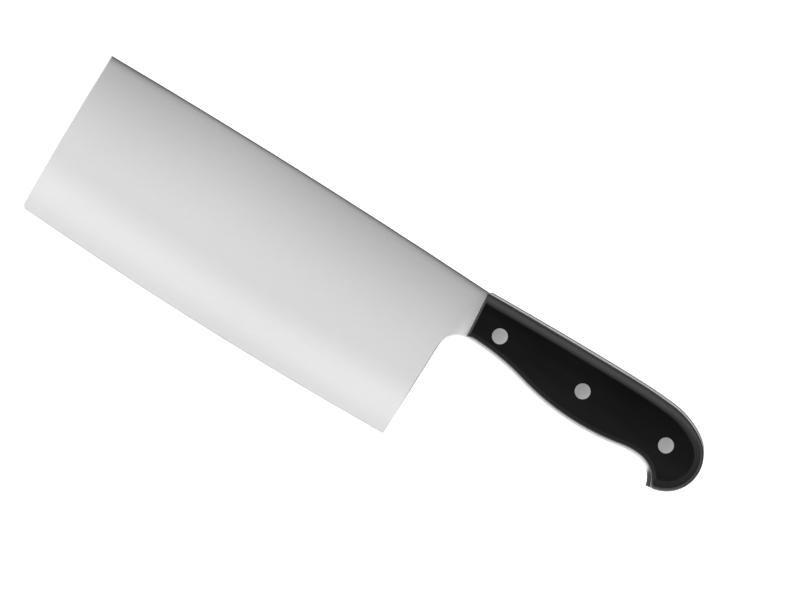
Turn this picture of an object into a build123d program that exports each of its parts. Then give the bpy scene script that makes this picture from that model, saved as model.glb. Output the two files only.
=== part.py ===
from build123d import *
import os
from math import asin, cos, degrees, sin

# Chinese cleaver: a full-tang steel blade, two black handle scales and three two-part rivets.
# The knife lies on its right side. +X runs from the tip to the butt, +Y from the cutting
# edge to the spine, and +Z up through the left side. The origin is under the middle of the
# knife, level with the outer face of the right scale. All lengths are in millimetres.

# Blade outline, with heights taken from the straight chord under the spine's bow
edge_length = 185.0
blade_height = 76.25
spine_bow = 1.25
edge_bow = 2.2
tip_lean = 1.9
tip_bow = 0.35
tip_corner_radius = 2.4
heel_corner_radius = 0.8
choil_radius = 9.5

# Steel thickness and the ground faces, half thicknesses taken from the middle plane
blade_thickness = 2.3
eased_edge = 0.55
taper_height = 28.0
grind_height = 14.0
grind_half = 0.84
bevel_height = 0.6
bevel_half = 0.2
edge_half = 0.04
wheel_run_in = 0.02

# Grip outline of the tang: reach back from the heel line, drop below the spine chord, and
# for the places near the butt the way ahead of its centre, or behind it for the foot
step_reach = 6.0
step_run = 2.2
step_rise = 0.75
crest_ahead = 29.8
crest_swell = 0.65
shoulder_ahead = 8.2
shoulder_rise = 2.0
butt_reach = 107.7
butt_drop = 17.9
butt_radius = 16.9
butt_turn = 58.0
foot_setback = 0.6
hook_ahead = 9.0
hook_lift = 0.4
palm_ahead = 18.15
palm_sag = 1.35
waist_reach = 37.9
waist_sag = 3.4
belly_run_in = 2.15
grip_drop = 21.75

# Handle scales, set in from the edge of the tang
scale_thickness = 7.5
scale_top_inset = 1.05
scale_belly_inset = 1.15
scale_hook_inset = 1.25
scale_butt_inset = 0.65
scale_butt_shift = 0.65
scale_front_lean = 2.05
scale_front_bevel = 0.9
scale_flare_drop = 0.8
scale_top_rounding = 5.3
scale_belly_rounding = 2.2

# Rivets: a post with a plain shank, driven into a sleeve from the other side
front_rivet_setback = 14.1
front_rivet_drop = 13.7
rear_rivet_ahead = 2.05
rear_rivet_rise = 2.4
middle_rivet_sag = 0.25
head_diameter = 6.85
head_thickness = 2.0
sleeve_diameter = 5.0
shank_diameter = 3.2
barrel_end_gap = 0.4
head_clearance = 0.03
barrel_clearance = 0.1
shank_clearance = 0.02

# One overrun for every cut
overrun = 2.0

# Places that follow from the sizes above
crest_rise = shoulder_rise + crest_swell
waist_drop = grip_drop + waist_sag
palm_drop = waist_drop + palm_sag
hook_drop = palm_drop - hook_lift
handle_reach = butt_reach + butt_radius
overall_length = tip_lean + edge_length + handle_reach
overall_height = crest_rise + blade_height + edge_bow
overall_thickness = 2 * scale_thickness + blade_thickness
heel_x = overall_length / 2 - handle_reach
spine_y = overall_height / 2 - crest_rise
right_face_z = scale_thickness
left_face_z = scale_thickness + blade_thickness
middle_plane = Plane.XY.offset(scale_thickness + blade_thickness / 2)
crest_reach = butt_reach - crest_ahead
shoulder_reach = butt_reach - shoulder_ahead
hook_reach = butt_reach - hook_ahead
palm_reach = butt_reach - palm_ahead
belly_reach = choil_radius + belly_run_in


def at(reach, drop):
    """Give the place that lies this far behind the heel line and below the spine chord."""
    return (heel_x + reach, spine_y - drop)


def grip_lines(front_top, front_bottom, top_inset, belly_inset, hook_inset, butt_inset, butt_shift):
    """Draw the grip's edge as one chain of arcs from its front top round to its front bottom."""
    arc_radius = butt_radius - butt_inset
    foot_turn = degrees(asin((foot_setback + hook_inset - butt_shift) / arc_radius))
    butt = CenterArc(
        at(butt_reach + butt_shift, butt_drop + butt_shift),
        arc_radius,
        butt_turn,
        foot_turn - butt_turn - 90,
    )
    shoulder = TangentArc(
        butt @ 0, at(shoulder_reach, top_inset - shoulder_rise), tangent=-(butt % 0)
    )
    crest = TangentArc(shoulder @ 1, at(crest_reach, top_inset - crest_rise), tangent=shoulder % 1)
    TangentArc(crest @ 1, front_top, tangent=crest % 1)
    waist = TangentArc(front_bottom, at(waist_reach, waist_drop - belly_inset), tangent=(1, 0))
    palm = TangentArc(waist @ 1, at(palm_reach, palm_drop - belly_inset), tangent=waist % 1)
    neck = TangentArc(palm @ 1, at(hook_reach, hook_drop - belly_inset), tangent=palm % 1)
    TangentArc(neck @ 1, butt @ 1, tangent=neck % 1)


# Rivet places: the first behind the scale's front, the last ahead of the butt's centre
front_rivet = at(step_reach + front_rivet_setback, front_rivet_drop)
rear_rivet = at(butt_reach - rear_rivet_ahead, butt_drop - rear_rivet_rise)
middle_rivet = (
    (front_rivet[0] + rear_rivet[0]) / 2,
    (front_rivet[1] + rear_rivet[1]) / 2 - middle_rivet_sag,
)
rivets = {"front": front_rivet, "middle": middle_rivet, "rear": rear_rivet}

# Blade: the blank is cut to its outline, its edges are eased, and both faces are then
# ground by one profile turned about the centre of the cutting edge's arc.
step_start = at(step_reach, 0)
step_middle = at(step_reach + step_run / 2, -step_rise / 2)
step_end = at(step_reach + step_run, -step_rise)
belly_start = at(belly_reach, grip_drop)
choil_end = at(choil_radius, grip_drop)
choil_start = at(0, grip_drop + choil_radius)
tip_top = at(-edge_length - tip_lean, 0)
spine_top = at((step_reach - edge_length - tip_lean) / 2, -spine_bow)
tip_bottom = at(-edge_length, blade_height)
heel_corner = at(0, blade_height)

edge_radius = (edge_length / 2) ** 2 / (2 * edge_bow) + edge_bow / 2
edge_centre = at(-edge_length / 2, blade_height + edge_bow - edge_radius)
taper_radius = edge_radius - taper_height
sweep_half = asin((edge_length / 2 + tip_lean + overrun) / taper_radius)
wheel_plane = Plane(
    origin=(edge_centre[0], edge_centre[1], right_face_z + blade_thickness / 2),
    x_dir=(-sin(sweep_half), -cos(sweep_half), 0),
    z_dir=(-cos(sweep_half), sin(sweep_half), 0),
)

with BuildPart() as blade:
    with BuildSketch(Plane.XY.offset(right_face_z)) as blank:
        with BuildLine():
            spine = ThreePointArc(tip_top, spine_top, step_start)
            step = TangentArc(step_start, step_middle, tangent=spine % 1)
            TangentArc(step_middle, step_end, tangent=step % 1)
            grip_lines(step_end, belly_start, 0, 0, 0, 0, 0)
            Line(belly_start, choil_end)
            JernArc(choil_end, (-1, 0), choil_radius, 90)
            Line(choil_start, heel_corner)
            ThreePointArc(heel_corner, at(-edge_length / 2, blade_height + edge_bow), tip_bottom)
            ThreePointArc(
                tip_bottom,
                at(-edge_length - tip_lean / 2 - tip_bow, blade_height / 2),
                tip_top,
            )
        make_face()
        corners = blank.vertices().group_by(Axis.Y)[0].sort_by(Axis.X)
        fillet(corners[0], radius=tip_corner_radius)
        fillet(blank.vertices().sort_by_distance(heel_corner)[0], radius=heel_corner_radius)
    extrude(amount=blade_thickness)
    chamfer(blade.faces().filter_by(Axis.Z).edges(), length=eased_edge)
    with BuildSketch(wheel_plane):
        with BuildLine():
            run_in = (taper_radius, blade_thickness / 2 + wheel_run_in)
            grind_line = (edge_radius - grind_height, grind_half)
            shoulder = (edge_radius - bevel_height, bevel_half)
            cutting_edge = (edge_radius, edge_half)
            TangentArc(run_in, grind_line, tangent=(1, 0))
            Polyline(
                grind_line,
                shoulder,
                cutting_edge,
                (edge_radius + overrun, edge_half),
                (edge_radius + overrun, blade_thickness / 2 + overrun),
                (taper_radius, blade_thickness / 2 + overrun),
                run_in,
            )
        make_face()
        mirror(about=Plane.XZ)
    revolve(
        axis=Axis((edge_centre[0], edge_centre[1], 0), (0, 0, 1)),
        revolution_arc=degrees(2 * sweep_half),
        mode=Mode.SUBTRACT,
    )
    with BuildSketch(Plane.XY.offset(right_face_z)):
        with Locations(list(rivets.values())):
            Circle(sleeve_diameter / 2 + barrel_clearance)
    extrude(amount=blade_thickness, mode=Mode.SUBTRACT)
blade.part.label = "blade"

# Scales: flat outer faces with a large rounding that runs right round the grip, a bevelled
# front end that leans back, and stepped holes for the rivets.
front_top = at(step_reach, scale_top_inset - step_rise)
front_bottom = at(step_reach + scale_front_lean, grip_drop + scale_flare_drop - scale_belly_inset)
flare_start = at(belly_reach, grip_drop - scale_belly_inset)
front_way = Vector(*front_bottom) - Vector(*front_top)
front_outward = front_way.rotate(Axis.Z, -90).normalized()


def is_belly(edge):
    """Tell whether an edge lies on the belly side of the grip, from its front to the hook."""
    middle = edge @ 0.5
    front, back = at(step_reach, butt_drop), at(butt_reach, butt_drop)
    return front[0] < middle.X < back[0] and middle.Y < back[1]


def is_back(edge):
    """Tell whether an edge lies on the back of the grip or round the butt."""
    return not is_belly(edge)


with BuildPart() as left_scale:
    with BuildSketch(Plane.XY.offset(left_face_z)):
        with BuildLine():
            grip_lines(
                front_top,
                flare_start,
                scale_top_inset,
                scale_belly_inset,
                scale_hook_inset,
                scale_butt_inset,
                scale_butt_shift,
            )
            TangentArc(flare_start, front_bottom, tangent=(-1, 0))
            Line(front_bottom, front_top)
        make_face()
    extrude(amount=scale_thickness)
    for is_rim, rounding in ((is_back, scale_top_rounding), (is_belly, scale_belly_rounding)):
        front_wall = left_scale.faces().sort_by(Axis.X)[0]
        outer_face = left_scale.faces().sort_by(Axis.Z)[-1]
        rim = outer_face.edges() - front_wall.edges()
        fillet(rim.filter_by(is_rim), radius=rounding)
    bevel_origin = Vector(*front_top) + Vector(0, 0, overall_thickness - scale_front_bevel)
    split(
        bisect_by=Plane(origin=bevel_origin, z_dir=front_outward + Vector(0, 0, 1)),
        keep=Keep.BOTTOM,
    )
    with Locations([(*place, overall_thickness) for place in rivets.values()]):
        CounterBoreHole(
            radius=sleeve_diameter / 2 + barrel_clearance,
            counter_bore_radius=head_diameter / 2 + head_clearance,
            counter_bore_depth=head_thickness,
        )
left_scale.part.label = "left_scale"

with BuildPart() as right_scale:
    mirror(left_scale.part, about=middle_plane)
right_scale.part.label = "right_scale"

os.makedirs("parts", exist_ok=True)
export_step(blade.part, "parts/blade.step")
export_step(left_scale.part, "parts/left_scale.step")
export_step(right_scale.part, "parts/right_scale.step")

# Rivets: every one is turned about its own axis. The post's head is flush with the right
# scale and the sleeve's head with the left scale.
sleeve_tip_z = head_thickness + barrel_end_gap
post_tip_z = overall_thickness - head_thickness - barrel_end_gap
bore_radius = shank_diameter / 2 + shank_clearance


def turn(points, place):
    """Turn a half section, given as radius and height, about the upright axis at a place."""
    with BuildPart() as turned:
        with BuildSketch(Plane(origin=(*place, 0), x_dir=(1, 0, 0), z_dir=(0, -1, 0))):
            with BuildLine():
                Polyline(*points, close=True)
            make_face()
        revolve(axis=Axis((*place, 0), (0, 0, 1)))
    return turned.part


post_section = (
    (0, 0),
    (head_diameter / 2, 0),
    (head_diameter / 2, head_thickness),
    (shank_diameter / 2, head_thickness),
    (shank_diameter / 2, post_tip_z),
    (0, post_tip_z),
)
sleeve_section = (
    (0, overall_thickness),
    (head_diameter / 2, overall_thickness),
    (head_diameter / 2, overall_thickness - head_thickness),
    (sleeve_diameter / 2, overall_thickness - head_thickness),
    (sleeve_diameter / 2, sleeve_tip_z),
    (bore_radius, sleeve_tip_z),
    (bore_radius, overall_thickness - head_thickness),
    (0, overall_thickness - head_thickness),
)

for rivet_name, place in rivets.items():
    post = turn(post_section, place)
    post.label = f"{rivet_name}_rivet_post"
    export_step(post, f"parts/{post.label}.step")
    sleeve = turn(sleeve_section, place)
    sleeve.label = f"{rivet_name}_rivet_sleeve"
    export_step(sleeve, f"parts/{sleeve.label}.step")
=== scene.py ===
import math

import bpy
from mathutils import Matrix, Vector


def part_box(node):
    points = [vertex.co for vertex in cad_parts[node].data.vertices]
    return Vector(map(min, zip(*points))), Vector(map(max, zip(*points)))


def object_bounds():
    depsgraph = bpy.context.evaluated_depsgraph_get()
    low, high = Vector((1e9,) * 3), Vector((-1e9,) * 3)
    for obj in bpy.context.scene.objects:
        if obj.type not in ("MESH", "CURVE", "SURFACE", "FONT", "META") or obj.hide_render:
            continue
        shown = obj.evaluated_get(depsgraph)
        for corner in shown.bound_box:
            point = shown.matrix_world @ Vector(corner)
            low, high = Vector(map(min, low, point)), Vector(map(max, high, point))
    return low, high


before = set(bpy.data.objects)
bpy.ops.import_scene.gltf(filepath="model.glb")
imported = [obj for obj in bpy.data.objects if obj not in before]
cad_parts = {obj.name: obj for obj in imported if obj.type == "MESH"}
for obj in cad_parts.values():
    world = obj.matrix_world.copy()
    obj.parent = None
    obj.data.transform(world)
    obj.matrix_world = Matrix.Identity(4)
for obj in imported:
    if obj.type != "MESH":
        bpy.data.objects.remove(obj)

# A chinese cleaver lies on its right side on a white floor, seen from straight above. All
# lengths are in metres in the frame's own axes: +X from tip to butt, +Y from the cutting edge
# to the spine, +Z up.

MM = 0.001
cad_low, cad_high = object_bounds()
blade_low, blade_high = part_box("blade")
scale_low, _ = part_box("left_scale")
middle_z = (blade_low.z + blade_high.z) / 2

# Camera: what the picture's width covers, and how the knife lies in it
PHOTO_SPAN = 347.0 * MM
CAMERA_DISTANCE = 1.2
CAMERA_ROLL = math.radians(32.11)
CAMERA_CLIP = (0.01, 50.0)
PICTURE_UP = (-math.sin(CAMERA_ROLL), math.cos(CAMERA_ROLL), 0.0)
PICTURE_CENTRE = Vector((6.5 * MM, 14.575 * MM, middle_z))
SENSOR = 36.0

# Blade sizes, repeated from the model, and the places that follow from them
EDGE_LENGTH = 185.0 * MM
EDGE_BOW = 2.2 * MM
TIP_LEAN = 1.9 * MM
SPINE_BOW = 1.25 * MM
STEP_REACH = 6.0 * MM
CREST_RISE = 2.65 * MM
FOOT_REACH = 107.7 * MM
heel_x = blade_low.x + TIP_LEAN + EDGE_LENGTH
spine_end = heel_x + STEP_REACH
spine_middle = (spine_end + blade_low.x) / 2
spine_y = blade_high.y - CREST_RISE
foot_x = heel_x + FOOT_REACH

# Grain shared by the finishes: the part of the noise that is used, and the steel's fine relief
NOISE_RANGE = (0.3, 0.7)
STEEL_RELIEF = (0.1, 0.01 * MM)

# Broad face of the blade, by height above the cutting edge. Its tint, painted darker toward the
# spine as painted shade, and its roughness are given at the edge and at the spine.
BLADE_LINES = {"stretch": (0.02, 1.0, 1.0), "scale": 9000.0}
BLADE_CLOUDS = {"stretch": (0.5, 1.0, 1.0), "scale": 40.0, "detail": 2.0}
LINE_CONTRAST = 0.02
CLOUD_CONTRAST = 0.01
FACE_TINT = (0.812, 0.508)
FACE_ROUGHNESS = (0.64, 0.52)
FACE_ANISOTROPY = 0.4
# Painted shade: from the lower height up, the tint darkens toward the spine and the roughness falls
SHADE_AND_GLOSS_HEIGHTS = (34 * MM, 78 * MM)
SHADE_AND_GLOSS_POWER = 1.7
# Painted highlight band a little above the cutting edge
EDGE_BAND_HIGHLIGHT_HEIGHTS = (13 * MM, 29.5 * MM)
EDGE_BAND_HIGHLIGHT_GAIN = 0.115
# Painted shade along the cutting edge
EDGE_SHADE_HEIGHTS = (1 * MM, 11 * MM)
EDGE_SHADE_LOSS = 0.06
HEEL_HEIGHTS = (45 * MM, 5 * MM)
HEEL_GAIN = 0.05

# Tip and spine of the blade, where painted shade darkens the face
TIP_FADE = (blade_low.x, blade_low.x + 80.0 * MM)
TIP_LOSS = (0.02, 0.15)
SPINE_SHADE_SPREAD = (40 * MM, 95 * MM)
SPINE_SHADE_LOSS = (0.10, 0.22)
SPINE_SHADE_DEPTHS = (0.3 * MM, 4.5 * MM)
SPINE_LINE_DEPTHS = (0.5 * MM, 2.0 * MM)
SPINE_LINE_SHARE = 0.64

# Painted light on the steel where the blade meets the scales
LIT_BEFORE_SCALES_REACH = (heel_x + 1 * MM, heel_x + 8 * MM)
LIT_BEFORE_SCALES_HEIGHTS = (spine_y - 1 * MM, spine_y - 20 * MM)
LIT_BEFORE_SCALES_GAIN = (0.12, 0.36)

# Tang beside the scales: flat strips with painted light, eased edges and the hook's foot with
# painted shade, and the lean of the belly's strip
TANG_START = (spine_end, spine_end + 2 * MM)
BELLY_HEIGHTS = (spine_y - 15 * MM, spine_y - 20 * MM)
HOOK_FOOT = (foot_x - 3.6 * MM, foot_x - 0.9 * MM)
# Painted light on the flat strips, painted shade at the hook's foot and on the eased edges
BACK_STRIP_PAINTED_LIGHT = 0.81
BELLY_STRIP_PAINTED_LIGHT = 0.98
HOOK_FOOT_PAINTED_SHADE = 0.10
EASED_NORMALS = (0.8, 0.9)
EASED_EDGE_PAINTED_SHADE = (0.10, 0.18)
UNDERSIDE_NORMALS = (0.4, -0.3)
LEAN_TURN = (foot_x - 15 * MM, foot_x - 5 * MM)
STRIP_LEAN = 0.5

# Rivet heads: their finish, and how strongly the wheel has dished them
RIVET_LINES = {"stretch": (0.05, 1.0, 1.0), "scale": 7000.0}
RIVET_TINT = {"front": 0.545, "middle": 0.545, "rear": 0.585}
RIVET_CONTRAST = 0.03
RIVET_ROUGHNESS = (0.36, 0.44)
DISH_RADIUS = 55.0 * MM
LEVEL_ONLY = (1.0, 1.0, 0.0)

# Black plastic: its grain, its tone, where handling has changed it, and its painted highlights
PLASTIC_GRAIN = {"stretch": (1.0, 1.0, 1.0), "scale": 3500.0, "detail": 3.0}
PLASTIC_RUBS = {"stretch": (0.25, 1.0, 1.0), "scale": 160.0, "detail": 5.0}
PLASTIC_RELIEF = (0.08, 0.02 * MM)
PLASTIC_TINT = (0.0025, 0.0035)
PLASTIC_IOR = 1.35
RUB_RANGE = (0.35, 0.7)
RUB_ROUGHNESS = (0.15, 0.2)
SCUFFED_ROUGHNESS = 0.8
SCUFF_TOP = (0.68, 0.58)
SCUFF_FOOT = (0.28, 0.38)
OFF_BELLY_NORMALS = (-0.75, -0.35)
# Paler toward the belly, by height
BELLY_PALING_HEIGHTS = (34 * MM, 14 * MM)
BELLY_PALING_TINT = (0.001, 0.008)
FRONT_NORMALS = (-0.55, -0.68)
FRONT_REACHES = (scale_low.x + 3 * MM, scale_low.x + 5 * MM)
# Painted highlight on the front edge of the scales
FRONT_EDGE_PAINTED_HIGHLIGHT = 0.03
# Painted highlight on the shoulder that faces the top of the picture
SPINEWARD_NORMALS = (0.18, 0.40)
SHOULDER_NORMALS = (0.66, 0.76)
SHOULDER_PAINTED_HIGHLIGHT = 0.034

# White paper floor
PAPER_FIBRES = {"stretch": (1.0, 1.0, 1.0), "scale": 900.0}
PAPER_RELIEF = (0.05, 0.02 * MM)
PAPER_TINT = 0.8
FLOOR_LIFT = 0.8
FLOOR_SIZE = 20.0

# Dome of light: strengths, and the directions between which they pass into each other
KEY_LIGHT = 1.25
KEY_REACH = 0.4
SIDE_LIGHT = 1.05
LOW_LIGHT_SHARE = 0.74
LOW_HEIGHTS = (0.1, 0.56)
OVERHEAD_LIGHT = 0.06
OVERHEAD_CENTRE = Vector((0.10, 0.03, 1.0)).normalized()
OVERHEAD_PATCH = (math.cos(math.radians(18.0)), math.cos(math.radians(14.0)))
FRONT_LIGHT = 0.55
FRONT_REACH = 0.5
HORIZON_LIGHT = 1.0
HORIZON_HEIGHT = 0.12

# Soft lamp past the tip
TIP_LAMP_BEARING = 167
TIP_LAMP_ELEVATION = 60
TIP_LAMP_DISTANCE = 4.0
TIP_LAMP_SIZE = (2.6, 2.6)
TIP_LAMP_RADIANCE = 0.8


def new_tree(name):
    """Make an empty node material and give back the material and its node tree."""
    material = bpy.data.materials.new(name)
    material.use_nodes = True
    material.node_tree.nodes.clear()
    return material, material.node_tree


def add(tree, kind, inputs=None, **settings):
    """Add a node, set its own settings, and fill its inputs with values or links."""
    node = tree.nodes.new(kind)
    for key, value in settings.items():
        setattr(node, key, value)
    for key, value in (inputs or {}).items():
        socket = node.inputs[key]
        if isinstance(value, bpy.types.NodeSocket):
            tree.links.new(value, socket)
        else:
            socket.default_value = value
    return node


def maths(tree, operation, first, second=0.0, clamp=False):
    """Work out one sum on two values or sockets."""
    inputs = {0: first, 1: second}
    return add(tree, "ShaderNodeMath", inputs, operation=operation, use_clamp=clamp).outputs[0]


def vectors(tree, operation, first, second, result="Vector"):
    """Work out one sum on two vectors."""
    node = add(tree, "ShaderNodeVectorMath", {0: first, 1: second}, operation=operation)
    return node.outputs[result]


def ramp(tree, value, low, high, start=0.0, end=1.0):
    """Carry a value smoothly from one range to another."""
    inputs = {"Value": value, "From Min": low, "From Max": high, "To Min": start, "To Max": end}
    node = add(tree, "ShaderNodeMapRange", inputs, interpolation_type="SMOOTHSTEP")
    return node.outputs["Result"]


def steady(tree, value, low, high, start=0.0, end=1.0):
    """Carry a value evenly from one range to another and hold it at the ends."""
    inputs = {"Value": value, "From Min": low, "From Max": high, "To Min": start, "To Max": end}
    return add(tree, "ShaderNodeMapRange", inputs, clamp=True).outputs["Result"]


def blend(tree, share, first, second):
    """Pass from the first value to the second as the share rises."""
    return add(tree, "ShaderNodeMix", {"Factor": share, "A": first, "B": second}).outputs["Result"]


def stretched_noise(tree, place, stretch, scale, detail=4.0, roughness=0.6):
    """Noise drawn out by a different factor along each axis."""
    mapping = add(tree, "ShaderNodeMapping", {"Vector": place, "Scale": stretch})
    inputs = {
        "Vector": mapping.outputs["Vector"],
        "Scale": scale,
        "Detail": detail,
        "Roughness": roughness,
    }
    return add(tree, "ShaderNodeTexNoise", inputs).outputs["Fac"]


def relief(tree, height, strength, distance, normal=None):
    """Turn a height into a slightly uneven normal, on top of another normal if one is given."""
    inputs = {"Strength": strength, "Distance": distance, "Height": height}
    if normal is not None:
        inputs["Normal"] = normal
    return add(tree, "ShaderNodeBump", inputs).outputs["Normal"]


def split(tree, vector):
    """The X, Y and Z shares of a vector."""
    return add(tree, "ShaderNodeSeparateXYZ", {"Vector": vector}).outputs


def grey(level):
    """A neutral colour of this level."""
    return (level, level, level, 1.0)


def finish(tree, tint, normal, **surface):
    """Close a material with a neutral tint, a normal and its other surface values."""
    colour = add(tree, "ShaderNodeCombineColor", {0: tint, 1: tint, 2: tint}).outputs[0]
    inputs = {"Base Color": colour, "Normal": normal, **surface}
    shader = add(tree, "ShaderNodeBsdfPrincipled", inputs)
    add(tree, "ShaderNodeOutputMaterial", {"Surface": shader.outputs[0]})


def inside_arc(tree, place, chord, bow, middle_x, end_y, facing):
    """Say how far a point lies inside a shallow arc, given by its chord, its bow and its ends."""
    radius = (chord / 2) ** 2 / (2 * bow) + bow / 2
    centre = (middle_x, end_y - facing * (radius - bow), 0.0)
    reach = vectors(tree, "DISTANCE", place, centre, "Value")
    return maths(tree, "SUBTRACT", radius, reach)


def face_tint(tree, axes, above_edge, spine_shade_and_gloss, lines):
    """How bright the blade's broad face is from the cutting edge to the spine: painted shade toward
    the spine, a painted highlight band above the edge, painted shade along the edge, and a little
    lighter toward the heel.
    """
    edge_band_highlight = ramp(tree, above_edge, *EDGE_BAND_HIGHLIGHT_HEIGHTS, EDGE_BAND_HIGHLIGHT_GAIN, 0.0)
    edge_shade = ramp(tree, above_edge, *EDGE_SHADE_HEIGHTS, EDGE_SHADE_LOSS, 0.0)
    toward_heel = ramp(tree, axes["X"], spine_middle, heel_x, 0.0, HEEL_GAIN)
    heel = maths(tree, "MULTIPLY", toward_heel, ramp(tree, above_edge, *HEEL_HEIGHTS))
    tint = steady(tree, spine_shade_and_gloss, 0.0, 1.0, *FACE_TINT)
    tint = maths(tree, "ADD", tint, edge_band_highlight)
    tint = maths(tree, "ADD", tint, heel)
    tint = maths(tree, "SUBTRACT", tint, edge_shade)
    return maths(tree, "ADD", tint, ramp(tree, lines, *NOISE_RANGE, -LINE_CONTRAST, LINE_CONTRAST))


def painted_shade_at_tip_and_spine(tree, tint, axes, below_spine, toward_spine):
    """Painted shade: the face darkens a little toward the tip, near the spine toward both of its
    ends, and in a thin line right under the spine.
    """
    tip_loss = steady(tree, toward_spine, 0.0, 1.0, *TIP_LOSS)
    tip_loss = maths(tree, "MULTIPLY", tip_loss, ramp(tree, axes["X"], *TIP_FADE, 1.0, 0.0))
    off_middle = maths(tree, "ABSOLUTE", maths(tree, "SUBTRACT", axes["X"], spine_middle))
    ends = ramp(tree, off_middle, *SPINE_SHADE_SPREAD, *SPINE_SHADE_LOSS)
    near_spine = ramp(tree, below_spine, *SPINE_SHADE_DEPTHS, 1.0, 0.0)
    loss = maths(tree, "ADD", tip_loss, maths(tree, "MULTIPLY", ends, near_spine))
    tint = maths(tree, "MULTIPLY", tint, maths(tree, "SUBTRACT", 1.0, loss))
    spine_line = ramp(tree, below_spine, *SPINE_LINE_DEPTHS, SPINE_LINE_SHARE, 1.0)
    return maths(tree, "MULTIPLY", tint, spine_line)


def lit_before_scales(tree, tint, axes):
    """The blade is painted brighter where it meets the front of the scales: painted light that
    lifts the shade the scales cast there.
    """
    near_front = ramp(tree, axes["X"], *LIT_BEFORE_SCALES_REACH)
    strength = steady(tree, axes["Y"], *LIT_BEFORE_SCALES_HEIGHTS, *LIT_BEFORE_SCALES_GAIN)
    gain = maths(tree, "ADD", 1.0, maths(tree, "MULTIPLY", near_front, strength))
    return maths(tree, "MULTIPLY", tint, gain)


def with_tang(tree, tint, axes, facing, on_tang, belly, eased):
    """Flat steel beside the scales carries painted light, the hook's foot painted shade, and the
    eased edges painted shade, except on the belly side where they take the strip's painted light.
    """
    under = blend(tree, ramp(tree, axes["X"], *HOOK_FOOT), BELLY_STRIP_PAINTED_LIGHT, HOOK_FOOT_PAINTED_SHADE)
    beside = blend(tree, belly, BACK_STRIP_PAINTED_LIGHT, under)
    tint = blend(tree, on_tang, tint, beside)
    back = blend(tree, on_tang, *EASED_EDGE_PAINTED_SHADE)
    below = steady(tree, facing["Y"], *UNDERSIDE_NORMALS)
    return blend(tree, eased, tint, blend(tree, below, back, under))


def leant_normal(tree, axes, on_tang, belly, eased):
    """Beside the scales the belly side of the tang is rounded over toward its edge."""
    flat_strip = maths(tree, "MULTIPLY", belly, maths(tree, "SUBTRACT", 1.0, eased))
    strip = maths(tree, "MULTIPLY", on_tang, flat_strip)
    rounded = maths(tree, "MULTIPLY", strip, STRIP_LEAN)
    ahead = ramp(tree, axes["X"], *LEAN_TURN, 0.0, -1.0)
    down = maths(tree, "SUBTRACT", -1.0, ahead)
    outward = add(tree, "ShaderNodeCombineXYZ", {"X": ahead, "Y": down}).outputs[0]
    lean = add(tree, "ShaderNodeVectorMath", {0: outward, "Scale": rounded}, operation="SCALE")
    straight = add(tree, "ShaderNodeNewGeometry").outputs["Normal"]
    leant = vectors(tree, "ADD", straight, lean.outputs["Vector"])
    return add(tree, "ShaderNodeVectorMath", {0: leant}, operation="NORMALIZE").outputs["Vector"]


def blade_steel():
    """Satin stainless steel with lengthwise grinding lines; its tint carries painted shade and
    painted highlights, among them a painted highlight band along the edge.
    """
    material, tree = new_tree("blade_steel_satin")
    coordinates = add(tree, "ShaderNodeTexCoord").outputs
    place = coordinates["Object"]
    axes = split(tree, place)
    facing = split(tree, coordinates["Normal"])
    flat_place = add(tree, "ShaderNodeCombineXYZ", {"X": axes["X"], "Y": axes["Y"]}).outputs[0]

    # How far a point lies above the cutting edge's arc and below the spine's
    edge_middle = heel_x - EDGE_LENGTH / 2
    edge_end = blade_low.y + EDGE_BOW
    spine_length = spine_end - blade_low.x
    above_edge = inside_arc(tree, flat_place, EDGE_LENGTH, EDGE_BOW, edge_middle, edge_end, -1)
    below_spine = inside_arc(tree, flat_place, spine_length, SPINE_BOW, spine_middle, spine_y, 1)

    lines = stretched_noise(tree, place, **BLADE_LINES)
    clouds = stretched_noise(tree, place, **BLADE_CLOUDS)
    toward_spine = steady(tree, above_edge, *SHADE_AND_GLOSS_HEIGHTS)
    # Painted shade on the tint and a smoother finish, both growing toward the spine
    spine_shade_and_gloss = maths(tree, "POWER", toward_spine, SHADE_AND_GLOSS_POWER)
    on_tang = ramp(tree, axes["X"], *TANG_START)
    belly = ramp(tree, axes["Y"], *BELLY_HEIGHTS)
    flat = maths(tree, "ABSOLUTE", facing["Z"])
    eased = ramp(tree, flat, *EASED_NORMALS, 1.0, 0.0)

    # Painted shade and painted highlights on the broad face
    tint = face_tint(tree, axes, above_edge, spine_shade_and_gloss, lines)
    # Painted shade toward the tip and along the spine
    tint = painted_shade_at_tip_and_spine(tree, tint, axes, below_spine, toward_spine)
    # Painted light where the blade meets the scales
    tint = lit_before_scales(tree, tint, axes)
    # Painted light and painted shade on the tang strips and eased edges
    tint = with_tang(tree, tint, axes, facing, on_tang, belly, eased)

    cloudy = ramp(tree, clouds, *NOISE_RANGE, -CLOUD_CONTRAST, CLOUD_CONTRAST)
    rough = maths(tree, "ADD", steady(tree, spine_shade_and_gloss, 0.0, 1.0, *FACE_ROUGHNESS), cloudy)
    across = add(tree, "ShaderNodeTangent", direction_type="RADIAL", axis="X").outputs["Tangent"]
    leant = leant_normal(tree, axes, on_tang, belly, eased)
    surface = {
        "Metallic": 1.0,
        "Roughness": rough,
        "Anisotropic": FACE_ANISOTROPY,
        "Tangent": across,
    }
    finish(tree, tint, relief(tree, lines, *STEEL_RELIEF, leant), **surface)
    return material


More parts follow.
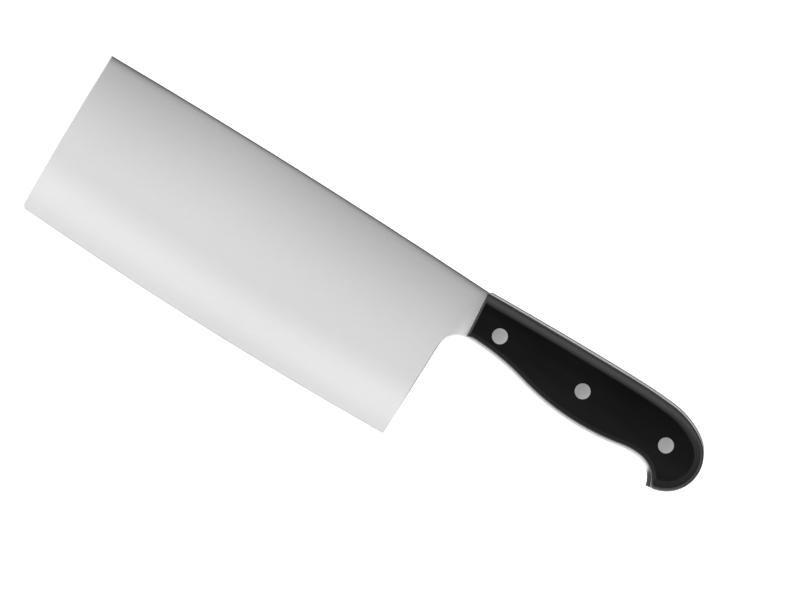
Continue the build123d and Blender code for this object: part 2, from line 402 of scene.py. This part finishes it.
def rivet_steel(name, low, high):
    """Satin steel for one rivet, made flush with the handle by grinding and dished a little by the
    wheel.
    """
    material, tree = new_tree(f"rivet_steel_{name}")
    place = add(tree, "ShaderNodeTexCoord").outputs["Object"]
    centre = (low + high) / 2
    level = vectors(tree, "MULTIPLY", place, LEVEL_ONLY)
    spread = vectors(tree, "DISTANCE", level, (centre.x, centre.y, 0.0), "Value")
    dished = relief(tree, maths(tree, "POWER", spread, 2.0), 1.0, 1 / (2 * DISH_RADIUS))
    lines = stretched_noise(tree, place, **RIVET_LINES)
    tints = (RIVET_TINT[name] - RIVET_CONTRAST, RIVET_TINT[name] + RIVET_CONTRAST)
    tint = ramp(tree, lines, *NOISE_RANGE, *tints)
    rough = ramp(tree, lines, *NOISE_RANGE, *RIVET_ROUGHNESS)
    normal = relief(tree, lines, *STEEL_RELIEF, dished)
    finish(tree, tint, normal, Metallic=1.0, Roughness=rough)
    return material


def plastic_roughness(tree, facing, upright, rubs):
    """Rubbed smooth on the face, scuffed on the rounded shoulder except on the belly side."""
    top = ramp(tree, upright, *SCUFF_TOP)
    foot = ramp(tree, upright, *SCUFF_FOOT)
    off_belly = steady(tree, facing["Y"], *OFF_BELLY_NORMALS)
    scuffed = maths(tree, "MULTIPLY", maths(tree, "MULTIPLY", top, foot), off_belly)
    return blend(tree, scuffed, ramp(tree, rubs, *RUB_RANGE, *RUB_ROUGHNESS), SCUFFED_ROUGHNESS)


def plastic_tint(tree, axes, facing, normal, upright, rubs):
    """Near black, paler toward the belly, with a painted highlight at the front edge and on the
    spine side's shoulder.
    """
    belly_paling = steady(tree, axes["Y"], *BELLY_PALING_HEIGHTS, *BELLY_PALING_TINT)
    tint = maths(tree, "ADD", ramp(tree, rubs, *NOISE_RANGE, *PLASTIC_TINT), belly_paling)
    # Painted highlight on the front edge of the scales
    front_highlight = steady(tree, facing["X"], *FRONT_NORMALS, 0.0, FRONT_EDGE_PAINTED_HIGHLIGHT)
    near_front = ramp(tree, axes["X"], *FRONT_REACHES, 1.0, 0.0)
    tint = maths(tree, "ADD", tint, maths(tree, "MULTIPLY", front_highlight, near_front))
    # Painted highlight on the shoulder facing the top of the picture, the side the light comes from
    spineward = vectors(tree, "DOT_PRODUCT", normal, PICTURE_UP, "Value")
    shoulder_highlight = steady(tree, spineward, *SPINEWARD_NORMALS, 0.0, SHOULDER_PAINTED_HIGHLIGHT)
    on_shoulder = ramp(tree, upright, *SHOULDER_NORMALS)
    return maths(tree, "ADD", tint, maths(tree, "MULTIPLY", shoulder_highlight, on_shoulder))


def handle_plastic():
    """Smooth black moulded plastic with a faint moulded texture, handling marks and painted
    highlights.
    """
    material, tree = new_tree("handle_plastic_black")
    coordinates = add(tree, "ShaderNodeTexCoord").outputs
    place = coordinates["Object"]
    normal = coordinates["Normal"]
    axes = split(tree, place)
    facing = split(tree, normal)
    upright = maths(tree, "ABSOLUTE", facing["Z"])
    grain = stretched_noise(tree, place, **PLASTIC_GRAIN)
    rubs = stretched_noise(tree, place, **PLASTIC_RUBS)
    tint = plastic_tint(tree, axes, facing, normal, upright, rubs)
    rough = plastic_roughness(tree, facing, upright, rubs)
    uneven = relief(tree, grain, *PLASTIC_RELIEF)
    finish(tree, tint, uneven, Roughness=rough, IOR=PLASTIC_IOR)
    return material


def seen_directly(tree):
    """One on camera, glossy and transmission rays, zero on the rest."""
    path = add(tree, "ShaderNodeLightPath").outputs
    direct = maths(tree, "ADD", path["Is Camera Ray"], path["Is Glossy Ray"], clamp=True)
    return maths(tree, "ADD", direct, path["Is Transmission Ray"], clamp=True)


def floor_paper():
    """White paper sweep, lifted to white where it is seen and keeping the shadow."""
    material, tree = new_tree("floor_paper_white")
    place = add(tree, "ShaderNodeTexCoord").outputs["Object"]
    uneven = relief(tree, stretched_noise(tree, place, **PAPER_FIBRES), *PAPER_RELIEF)
    diffuse = add(tree, "ShaderNodeBsdfDiffuse", {"Color": grey(PAPER_TINT), "Normal": uneven})
    lift = maths(tree, "MULTIPLY", seen_directly(tree), FLOOR_LIFT)
    glow = add(tree, "ShaderNodeEmission", {"Color": grey(1.0), "Strength": lift})
    both = add(tree, "ShaderNodeAddShader", {0: diffuse.outputs[0], 1: glow.outputs[0]})
    add(tree, "ShaderNodeOutputMaterial", {"Surface": both.outputs[0]})
    return material


def make_floor():
    """Lay the white floor under the knife."""
    mesh = bpy.data.meshes.new("floor")
    half = FLOOR_SIZE / 2
    level = cad_low.z
    corners = ((-half, -half), (half, -half), (half, half), (-half, half))
    mesh.from_pydata([(x, y, level) for x, y in corners], [], [(0, 1, 2, 3)])
    floor = bpy.data.objects.new("floor", mesh)
    bpy.context.scene.collection.objects.link(floor)
    mesh.materials.append(floor_paper())


def make_world():
    """An even soft dome: a little brighter past the top of the picture, dimmer in front of it,
    with a small dim patch overhead and a bright ring at the horizon."""
    world = bpy.data.worlds.new("studio")
    world.use_nodes = True
    tree = world.node_tree
    tree.nodes.clear()
    direction = add(tree, "ShaderNodeTexCoord").outputs["Generated"]
    height = split(tree, direction)["Z"]
    toward = vectors(tree, "DOT_PRODUCT", direction, PICTURE_UP, "Value")
    key = ramp(tree, toward, 0.0, KEY_REACH, SIDE_LIGHT, KEY_LIGHT)
    key = maths(tree, "MULTIPLY", key, ramp(tree, height, *LOW_HEIGHTS, LOW_LIGHT_SHARE, 1.0))
    front = steady(tree, toward, 0.0, -FRONT_REACH, 0.0, FRONT_LIGHT - SIDE_LIGHT)
    dome = maths(tree, "ADD", key, front)
    overhead = vectors(tree, "DOT_PRODUCT", direction, OVERHEAD_CENTRE, "Value")
    dome = blend(tree, ramp(tree, overhead, *OVERHEAD_PATCH), dome, OVERHEAD_LIGHT)
    ring = ramp(tree, height, 0.0, HORIZON_HEIGHT, 1.0, 0.0)
    level = blend(tree, ring, dome, HORIZON_LIGHT)
    background = add(tree, "ShaderNodeBackground", {"Color": grey(1.0), "Strength": level})
    add(tree, "ShaderNodeOutputWorld", {"Surface": background.outputs[0]})
    bpy.context.scene.world = world


def make_softbox(name, bearing, elevation, distance, size, radiance):
    """Hang a soft lamp that faces the knife, with its bearing counted from +X towards +Y."""
    bearing = math.radians(bearing)
    elevation = math.radians(elevation)
    level = math.cos(elevation)
    away = Vector((math.cos(bearing) * level, math.sin(bearing) * level, math.sin(elevation)))
    lamp = bpy.data.lights.new(name, "AREA")
    lamp.shape = "RECTANGLE"
    lamp.size, lamp.size_y = size
    lamp.energy = radiance * math.pi * size[0] * size[1]
    holder = bpy.data.objects.new(name, lamp)
    holder.location = PICTURE_CENTRE + away * distance
    holder.rotation_mode = "QUATERNION"
    holder.rotation_quaternion = away.to_track_quat("Z", "Y")
    holder.visible_camera = False
    bpy.context.scene.collection.objects.link(holder)


def make_camera():
    """Look straight down at the knife's left side, rolled as in the photograph."""
    camera = bpy.data.cameras.new("camera")
    camera.sensor_width = SENSOR
    camera.lens = SENSOR * CAMERA_DISTANCE / PHOTO_SPAN
    camera.clip_start, camera.clip_end = CAMERA_CLIP
    holder = bpy.data.objects.new("camera", camera)
    place = PICTURE_CENTRE + Vector((0.0, 0.0, CAMERA_DISTANCE))
    holder.matrix_world = Matrix.Translation(place) @ Matrix.Rotation(CAMERA_ROLL, 4, "Z")
    bpy.context.scene.collection.objects.link(holder)
    bpy.context.scene.camera = holder


def dress(node, material):
    """Give a CAD node its finish."""
    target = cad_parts[node].data
    if not target.materials:
        target.materials.append(material)
    for index in range(len(target.materials)):
        target.materials[index] = material


steel = blade_steel()
plastic = handle_plastic()
dress("blade", steel)
for node in ("left_scale", "right_scale"):
    dress(node, plastic)
for place in ("front", "middle", "rear"):
    rivet_finish = rivet_steel(place, *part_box(f"{place}_rivet_sleeve"))
    for half in ("post", "sleeve"):
        dress(f"{place}_rivet_{half}", rivet_finish)

make_floor()
make_world()
make_softbox(
    "tip_softbox",
    TIP_LAMP_BEARING,
    TIP_LAMP_ELEVATION,
    TIP_LAMP_DISTANCE,
    TIP_LAMP_SIZE,
    TIP_LAMP_RADIANCE,
)
make_camera()

bpy.context.scene.view_settings.view_transform = "Standard"
